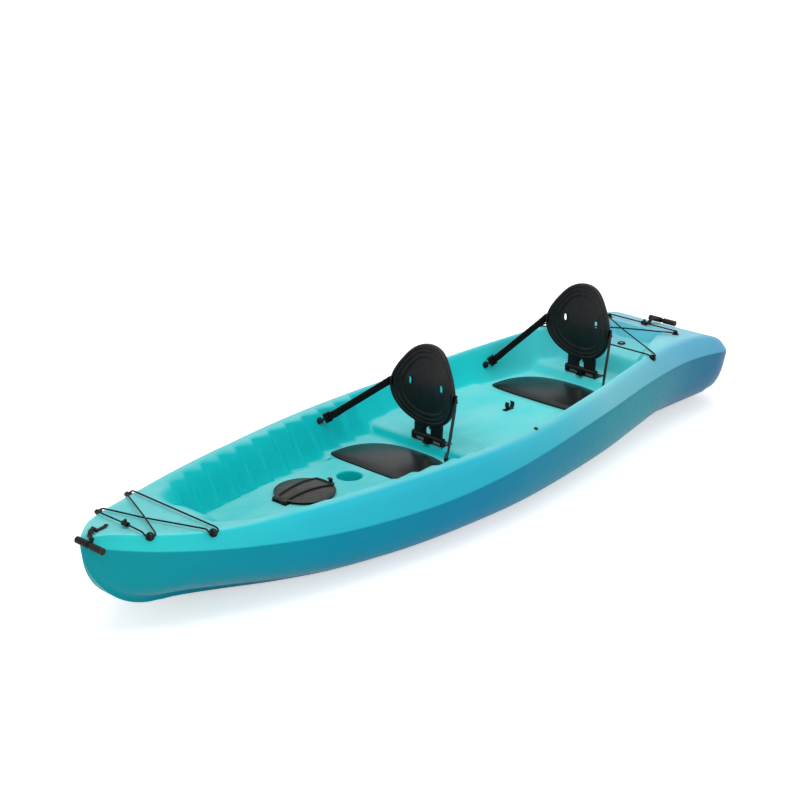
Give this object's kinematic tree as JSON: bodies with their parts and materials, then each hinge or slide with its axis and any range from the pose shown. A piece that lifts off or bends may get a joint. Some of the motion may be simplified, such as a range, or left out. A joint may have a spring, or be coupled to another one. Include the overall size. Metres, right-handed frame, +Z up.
{
  "type": "tandem kayak",
  "caption": "Sit-on-top tandem kayak: hollow moulded hull with foot steps, hinged seat backs, seat pads, domed deck hatch, cup holder, deck lacing, carry handles and a tank well.",
  "frame": {"origin": "under the middle of the hull, on the lowest line of the keel", "axes": "+X towards the bow, +Y to port, +Z up"},
  "size_m": [3.368, 0.914, 0.644],
  "materials": {
    "hull_plastic": "satin rotomoulded polyethylene, turquoise at the bow fading to blue at the stern",
    "black_plastic": "fine-grained black moulding",
    "hatch_plastic": "dark grey moulding",
    "seat_foam": "dark grey smooth foam",
    "webbing": "black webbing",
    "shock_cord": "black covered shock cord",
    "seal_rubber": "black rubber",
    "steel": "stainless"
  },
  "bodies": {
    "hull": {"hull_shell": "hull_plastic", "hatch_rim": "hatch_plastic", "hatch_gasket": "seal_rubber", "hatch_hinge_pin": "steel", "hatch_hook": "black_plastic", "hatch_hook_screws": "steel", "bow_handle_anchor": "black_plastic", "bow_handle_screws": "steel", "bow_handle_pin": "steel", "stern_handle_anchor": "black_plastic", "stern_handle_screws": "steel", "stern_handle_pin": "steel", "bow_pad_eyes": "black_plastic", "bow_eye_screws": "steel", "bow_bungee": "shock_cord", "bow_cord_lock": "black_plastic", "stern_pad_eyes": "black_plastic", "stern_eye_screws": "steel", "stern_bungee": "shock_cord", "stern_cord_lock": "black_plastic", "front_seat_bracket": "black_plastic", "front_seat_pin": "steel", "front_seat_screws": "steel", "front_seat_pad": "seat_foam", "front_strap_anchors": "black_plastic", "front_strap_screws": "steel", "front_strap_buckles": "black_plastic", "rear_seat_bracket": "black_plastic", "rear_seat_pin": "steel", "rear_seat_screws": "steel", "rear_seat_pad": "seat_foam", "rear_strap_anchors": "black_plastic", "rear_strap_screws": "steel", "rear_strap_buckles": "black_plastic", "paddle_clip": "black_plastic", "paddle_clip_screw": "steel", "gunwale_plugs": "black_plastic"},
    "hatch_cover": {"hatch_lid": "hatch_plastic", "hatch_straps": "seal_rubber"},
    "front_back": {"front_seat_back": "black_plastic", "front_strap_port": "webbing", "front_strap_starboard": "webbing"},
    "rear_back": {"rear_seat_back": "black_plastic", "rear_strap_port": "webbing", "rear_strap_starboard": "webbing"},
    "bow_handle": {"bow_handle_strap": "webbing", "bow_handle_grip": "black_plastic"},
    "stern_handle": {"stern_handle_strap": "webbing", "stern_handle_grip": "black_plastic"},
    "drain": {"drain_plug": "black_plastic"}
  },
  "joints": [
    {"name": "front_back_fold", "type": "hinge", "parent": "hull", "child": "front_back", "pos_m": [0.044, 0, 0.239], "axis": [0, 1, 0], "range_deg": [0, 80], "deforming": ["front_strap_port", "front_strap_starboard"]},
    {"name": "rear_back_fold", "type": "hinge", "parent": "hull", "child": "rear_back", "pos_m": [-0.896, 0, 0.276], "axis": [0, 1, 0], "range_deg": [0, 80], "deforming": ["rear_strap_port", "rear_strap_starboard"]},
    {"name": "hatch_open", "type": "hinge", "parent": "hull", "child": "hatch_cover", "pos_m": [0.817, 0, 0.215], "axis": [0, 1, 0], "range_deg": [0, 110]},
    {"name": "bow_handle_swing", "type": "hinge", "parent": "hull", "child": "bow_handle", "pos_m": [1.617, 0, 0.36432], "axis": [0, -1, 0], "range_deg": [0, 100]},
    {"name": "stern_handle_swing", "type": "hinge", "parent": "hull", "child": "stern_handle", "pos_m": [-1.357, 0, 0.37192], "axis": [0, 1, 0], "range_deg": [0, 100]},
    {"name": "drain_turn", "type": "hinge", "parent": "hull", "child": "drain", "pos_m": [-1.17, 0, 0.322], "axis": [0, 0, 1], "continuous": true}
  ]
}
